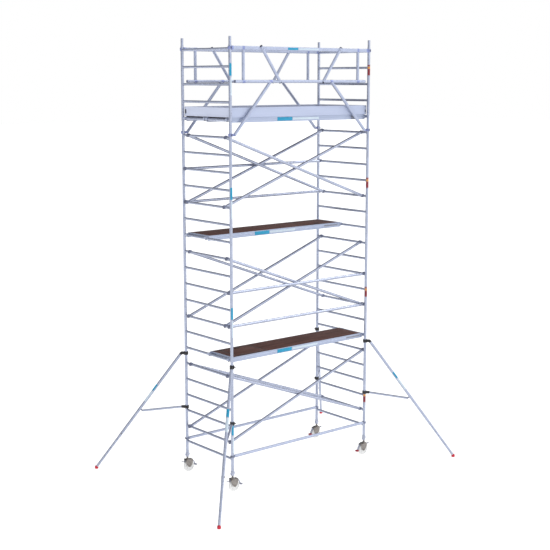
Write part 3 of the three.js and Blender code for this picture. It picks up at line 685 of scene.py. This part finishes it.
def guard_rail(side_name, side):
    """A box-section top rail, a round knee rail, posts, slanting struts and legs, and their claws."""
    y = side * HALF_Y
    top = rung_z(24) + 0.012
    knee = rung_z(22) + 0.047
    grip = rung_z(19) + 0.046
    strut_y = y + side * 0.012
    bolt_out = Vector((0, side * 0.028, 0))
    bolt_in = Vector((0, side * 0.030, 0))
    shape = Shape()
    lift = Matrix.Translation((0, y, top))
    shape.prism(round_box(0.030, 0.060, 0.008), 2 * (BAY_X - 0.031), RAIL, lift @ ALONG_X, bevel=0)
    shape.rod((-1.426, y, knee), (1.426, y, knee), GUARD_R, RAIL, 30)
    for end in (-1, 1):
        x = end * BAY_X
        post = end * POST_X
        shape.rod((end * 1.420, y, knee), (end * 1.430, y, knee), GUARD_CAP_R, CAST, 30, edge=0.003)
        shape.rod((post, y, knee), (post, y, top - 0.026), GUARD_R, RAIL, 28)
        foot = Vector((GUARD_SHIFT + end * STRUT_FOOT_X, strut_y, knee - 0.022))
        head = Vector((GUARD_SHIFT + end * STRUT_HEAD_X, strut_y, top + 0.038))
        way = (head - foot).normalized()
        shape.rod(foot + way * 0.012, head - way * 0.012, GUARD_R, RAIL, 28)
        shape.rod(foot - way * 0.001, foot + way * 0.016, GUARD_CAP_R, LATCH, 28, edge=0.003)
        shape.rod(head + way * 0.001, head - way * 0.016, GUARD_CAP_R, LATCH, 28, edge=0.003)
        for point in (foot + way * 0.06, head - way * 0.06):
            shape.rod(point + bolt_out, point - bolt_in, 0.006, ZINC, 6)
        leg_head = GUARD_SHIFT + end * LEG_HEAD_X
        shape.rod((leg_head, y, knee), (end * 1.436, y, grip), GUARD_R, RAIL, 28)
        for px in (post, leg_head):
            shape.pipe((px - 0.028, y, knee), (px + 0.028, y, knee), GUARD_R + 0.002, GUARD_R - 0.0005,
                       COUPLER, 30)
        shape.block((end * 1.232, y - 0.0162, top - 0.031), (end * 1.278, y + 0.0162, top + 0.031), COUPLER)
        for z, height in ((top, 0.050), (grip, 0.044)):
            shape.place = Matrix.Translation((x, y, z))
            shape.prism(open_ring(COLLAR_BORE, 0.0362, -90 * side, 54), height, COUPLER, bevel=0.002)
            shape.block((-0.012, side * 0.030, -0.016), (0.012, side * 0.0365, 0.016), LATCH, bevel=0.003)
            shape.place = Matrix()
        shape.block((x - end * 0.033, y - 0.008, grip - 0.02),
                    (x - end * 0.096, y + 0.008, grip + 0.02), COUPLER)
        shape.block((x - end * 0.030, y - 0.0165, top - 0.0315),
                    (x - end * 0.062, y + 0.0165, top + 0.0315), COUPLER)
    if side < 0:
        face = y - 0.0157
        shape.block((-0.335, face, top - 0.018), (-0.115, y - 0.012, top + 0.020), TEAL, bevel=0.0002)
        shape.block((-0.105, face, top - 0.014), (0.335, y - 0.012, top + 0.014), PALE, bevel=0.0002)
    shape.piece(f"guard_rail_{side_name}_parts", "tower", "aluminium", f"guard_rail_{side_name}")


guard_rail("front", -1)
guard_rail("rear", 1)

# ---- outriggers ----------------------------------------------------------------------------------

# x runs out from the upright's axis here, and distances along the leg are from LEG_TOP.
UPPER_CLAMP_Z = 2.14
LOWER_CLAMP_Z = 1.18
LEG_TOP = Vector((0.082, 0, UPPER_CLAMP_Z))
LEG_FOOT = Vector((1.633, 0, 0.031))
LEG_WAY = (LEG_FOOT - LEG_TOP).normalized()
ARM_LENGTH = 1.9
KNUCKLE_DISTANCE = 1.262
PIN_DISTANCE = 1.83


def on_leg(distance):
    return LEG_TOP + LEG_WAY * distance


def clamp(shape, z, height):
    """A black half-coupler round the upright, with its bolt, wing nut and lug."""
    foot = z - height / 2
    top = z + height / 2
    shape.pipe((0, 0, foot), (0, 0, top), 0.0385, 0.0255, BLACK, 32)
    shape.block((0.034, -0.017, foot + 0.004), (0.090, 0.017, top - 0.004), BLACK, bevel=0.004)
    shape.rod((0.006, 0.034, z), (0.006, 0.066, z), 0.005, ZINC, 12)
    shape.block((-0.016, 0.052, z - 0.005), (0.028, 0.060, z + 0.005), BLACK, bevel=0.003)
    shape.block((-0.014, 0.030, z - 0.014), (0.026, 0.044, z + 0.014), BLACK, bevel=0.004)


def outrigger_arm(corner, place):
    """The outer tube with its two clamps, the strut to its knuckle, the pin and two colour bands."""
    shape = Shape(place)
    knuckle = on_leg(KNUCKLE_DISTANCE)
    end = Vector((knuckle.x - 0.042, 0, knuckle.z - 0.036))
    shape.pipe(on_leg(0.004), on_leg(ARM_LENGTH), 0.025, 0.023, ALUMINIUM, 32)
    shape.rod(on_leg(-0.002), on_leg(0.03), 0.0258, BLACK, 32, edge=0.004)
    shape.pipe(on_leg(ARM_LENGTH - 0.025), on_leg(ARM_LENGTH), 0.0262, 0.0225, NUT, 32)
    clamp(shape, UPPER_CLAMP_Z, 0.056)
    clamp(shape, LOWER_CLAMP_Z, 0.052)
    shape.rod((0.066, 0, LOWER_CLAMP_Z), end, 0.019, ALUMINIUM, 28)
    shape.rod((0.060, 0, LOWER_CLAMP_Z), (0.095, 0, LOWER_CLAMP_Z - 0.0016), 0.0202, BLACK, 28, edge=0.003)
    link = (knuckle - end).normalized()
    shape.rod(end - link * 0.012, knuckle - link * 0.022, 0.0118, CAST, 20, edge=0.003)
    shape.pipe(knuckle - LEG_WAY * 0.018, knuckle + LEG_WAY * 0.018, 0.0262, 0.0248, ALUMINIUM, 32)
    shape.rod((end.x - 0.004, -0.021, end.z), (end.x - 0.004, 0.021, end.z), 0.005, ZINC, 6)
    pin = on_leg(PIN_DISTANCE)
    shape.rod(pin + Vector((0, -0.032, 0)), pin + Vector((0, 0.032, 0)), 0.0045, ZINC, 12)
    shape.pipe(pin + Vector((0, 0.026, 0)), pin + Vector((0, 0.031, 0)), 0.012, 0.009, ZINC, 24)
    tilt = Matrix.Translation(on_leg(0)) @ LEG_WAY.to_track_quat("Z", "Y").to_matrix().to_4x4()
    shape.place = place @ tilt
    shape.band(0, 0, 0.715, 0.845, 0.0256, 90, 200, TEAL)
    shape.band(0, 0, 0.86, 1.10, 0.0256, 90, 200, PALE)
    shape.piece(f"outrigger_{corner}_parts", f"outrigger_{corner}", "aluminium", f"outrigger_{corner}")


def outrigger_leg(corner, place):
    """The inner tube with its row of pin holes, its end ring and its rubber foot."""
    shape = Shape(place)
    shape.pipe(on_leg(1.5), LEG_FOOT - LEG_WAY * 0.02, 0.022, 0.020, ALUMINIUM, 32)
    across = Vector((0, 0.0223, 0))
    # Each pin hole is a black rod through the tube: painted shade where the hole is.
    for i in range(5):
        hole = on_leg(1.96 + 0.1 * i)
        shape.rod(hole - across, hole + across, 0.006, BLACK, 16, edge=0.0005)
    profile = [(0.020, 0), (0.0265, 0.0015), (0.030, 0.006), (0.0318, 0.013), (0.0306, 0.0155),
               (0.0318, 0.018), (0.0318, 0.030), (0.0305, 0.039), (0.0275, 0.047), (0.0225, 0.053),
               (0.015, 0.0565), (0.006, 0.058)]
    shape.lathe((LEG_FOOT.x, 0, 0), (LEG_FOOT.x, 0, 1), profile, RUBBER, 40)
    shape.pipe(LEG_FOOT - LEG_WAY * 0.105, LEG_FOOT - LEG_WAY * 0.020, 0.0232, 0.0218, NUT, 32)
    shape.piece(f"outrigger_leg_{corner}_parts", f"outrigger_leg_{corner}", "outrigger_leg",
                f"outrigger_leg_{corner}")


# ---- casters -------------------------------------------------------------------------------------

# Heights are over the floor, and x runs from the stem's axis towards the wheel.
TRAIL = 0.028    # from the stem's axis to the wheel's
WHEEL_R = 0.1
HEAD_Z = 0.222   # the top of the fork, on which the swivel head sits
PIN_X = 0.082    # the brake's pivot
PIN_Z = 0.202
CHEEK_Y = 0.0355
FORK_SIDE = [(-0.046, HEAD_Z), (-0.052, 0.168), (-0.036, 0.141), (-0.016, 0.113), (0.002, 0.090),
             (0.014, 0.083), (0.028, 0.080), (0.044, 0.084), (0.056, 0.093), (0.076, 0.128),
             (0.090, 0.160), (0.098, 0.190), (0.096, 0.208), (0.090, HEAD_Z)]


def arc(radius, degrees):
    """A point on a circle round the wheel's axis."""
    angle = math.radians(degrees)
    return TRAIL + radius * math.cos(angle), WHEEL_R + radius * math.sin(angle)


def stem(corner, place):
    """The threaded stem, plain inside the upright, and the round swivel head."""
    shape = Shape(place)
    profile = [(0.016, 0.237)]
    for i in range(21):
        z = 0.238 + i * 0.0056
        profile += [(0.0152, z), (0.0168, z + 0.0018), (0.0168, z + 0.0034), (0.0152, z + 0.0052)]
    profile += [(0.0165, 0.357), (0.0165, 0.678), (0.0155, 0.680)]
    shape.lathe((0, 0, 0), (0, 0, 1), profile, ZINC, 28)
    head = [(0.030, HEAD_Z + 0.0004), (0.0375, HEAD_Z + 0.002), (0.038, HEAD_Z + 0.008),
            (0.034, HEAD_Z + 0.013), (0.022, HEAD_Z + 0.016), (0.016, HEAD_Z + 0.0165)]
    shape.lathe((0, 0, 0), (0, 0, 1), head, ZINC, 36)
    shape.piece(f"stem_{corner}_parts", f"stem_{corner}", "zinc_steel", f"spindle_{corner}")


def fork(corner, place, knob_x):
    """The fork's two cheeks and top plate, the axle and pivot, the lever and the black knob."""
    shape = Shape(place)
    for s in (-1, 1):
        shape.prism(FORK_SIDE, 0.005, ZINC, Matrix.Translation((0, s * 0.0335, 0)) @ UPRIGHT, bevel=0.0012)
        shape.rod((TRAIL, s * CHEEK_Y, WHEEL_R), (TRAIL, s * 0.043, WHEEL_R), 0.011, ZINC, 6, edge=0.0015)
        shape.rod((PIN_X, s * CHEEK_Y, PIN_Z), (PIN_X, s * 0.0395, PIN_Z), 0.007, ZINC, 16)
    shape.block((-0.046, -0.036, HEAD_Z - 0.006), (0.090, 0.036, HEAD_Z), ZINC, bevel=0.003)
    shape.rod((TRAIL, -0.036, WHEEL_R), (TRAIL, 0.036, WHEEL_R), 0.0068, ZINC, 20)
    shape.rod((PIN_X, -0.036, PIN_Z), (PIN_X, 0.036, PIN_Z), 0.004, ZINC, 16)
    lever = [(-0.036, HEAD_Z), (-0.050, HEAD_Z), (-0.060, 0.190), (-0.090, 0.197), (-0.124, 0.207),
             (-0.126, 0.201), (-0.090, 0.190), (-0.058, 0.181), (-0.046, 0.212), (-0.036, 0.214)]
    shape.prism(lever, 0.024, GREY, UPRIGHT, bevel=0.0015)
    shape.rod((-0.106, 0, 0.1985), (-0.126, 0, 0.2045), 0.0065, GREY, 18, edge=0.003)
    shape.rod((knob_x, 0, HEAD_Z - 0.001), (knob_x, 0, HEAD_Z + 0.006), 0.010, ZINC, 18)
    shape.rod((knob_x, 0, HEAD_Z + 0.004), (knob_x, 0, HEAD_Z + 0.024), 0.0165, BLACK, 28, edge=0.005,
              rib=0.0012)
    shape.piece(f"fork_{corner}_parts", f"fork_{corner}", "zinc_steel", f"fork_{corner}")


def wheel(corner, place):
    """A cast nylon wheel: rounded tread, dished web with ribs, and a hub with a bearing face."""
    hub = place @ Matrix.Translation((TRAIL, 0, WHEEL_R))
    shape = Shape(hub)
    half = [(0.009, 0.027), (0.021, 0.027), (0.024, 0.025), (0.027, 0.015), (0.070, 0.012),
            (0.080, 0.014), (0.083, 0.022), (0.093, 0.0235), (0.0975, 0.021), (0.0995, 0.015),
            (WHEEL_R, 0.007)]
    profile = half + [(r, -w) for r, w in half[::-1]]
    shape.lathe((0, 0, 0), (0, 1, 0), profile, NYLON, 64, closed=True)
    for i in range(8):
        shape.place = hub @ Matrix.Rotation(math.radians(45 * i), 4, "Y")
        for s in (-1, 1):
            shape.block((0.024, s * 0.010, -0.0025), (0.080, s * 0.0185, 0.0025), NYLON, bevel=0.001)
    shape.place = hub
    for s in (-1, 1):
        shape.pipe((0, s * 0.0262, 0), (0, s * 0.0282, 0), 0.0175, 0.0092, ZINC, 32)
    shape.piece(f"wheel_{corner}_parts", f"wheel_{corner}", "wheel_nylon", f"wheel_{corner}")


def brake(corner, place, pad_color):
    """The brake's curved strap, pivot eye and foot pad with grip ribs."""
    shape = Shape(place)
    outer = [arc(0.1255, 60 - i * 3) for i in range(20)]
    inner = [arc(0.1210, 3 + i * 3) for i in range(20)]
    shape.prism(outer + inner, 0.030, NUT, UPRIGHT, bevel=0.001)
    shape.pipe((PIN_X, -0.025, PIN_Z), (PIN_X, 0.025, PIN_Z), 0.0092, 0.0055, ZINC, 24)
    x = TRAIL + 0.120
    pad = [(x - 0.004, 0.094), (x + 0.010, 0.090), (x + 0.034, 0.086), (x + 0.0445, 0.0905),
           (x + 0.0475, 0.098), (x + 0.043, 0.105), (x + 0.026, 0.110), (x + 0.006, 0.1145),
           (x - 0.004, 0.1125)]
    shape.prism(pad, 0.056, pad_color, UPRIGHT, bevel=0.004)
    for i in range(4):
        ridge = x + 0.006 + i * 0.008
        z = 0.1140 - i * 0.0018
        shape.block((ridge, -0.023, z - 0.004), (ridge + 0.003, 0.023, z + 0.0006), pad_color, bevel=0.0008)
    shape.piece(f"brake_{corner}_parts", f"brake_{corner}", "red_pedal", f"brake_{corner}")


for corner, (sx, sy) in CORNERS.items():
    at_corner = Matrix.Translation((sx * BAY_X, sy * HALF_Y, 0))
    outward = at_corner @ Matrix.Rotation(math.atan2(sy, sx), 4, "Z")
    outrigger_arm(corner, outward)
    outrigger_leg(corner, outward)
    inward = at_corner @ Matrix.Rotation(0 if sx < 0 else math.pi, 4, "Z")
    stem(corner, inward)
    fork(corner, inward, -0.057 if sx < 0 else 0.066)
    wheel(corner, inward)
    brake(corner, inward, GREY if sx < 0 else RED)

# ---- floor ---------------------------------------------------------------------------------------

FLOOR_HALF = 150
floor_corners = [(sx * FLOOR_HALF, sy * FLOOR_HALF, 0) for sx, sy in ((-1, -1), (1, -1), (1, 1), (-1, 1))]
floor_mesh = bpy.data.meshes.new("floor")
floor_mesh.from_pydata(floor_corners, [], [(0, 1, 2, 3)])
floor_mesh.materials.append(FLOOR)
floor = bpy.data.objects.new("floor", floor_mesh)
bpy.context.collection.objects.link(floor)
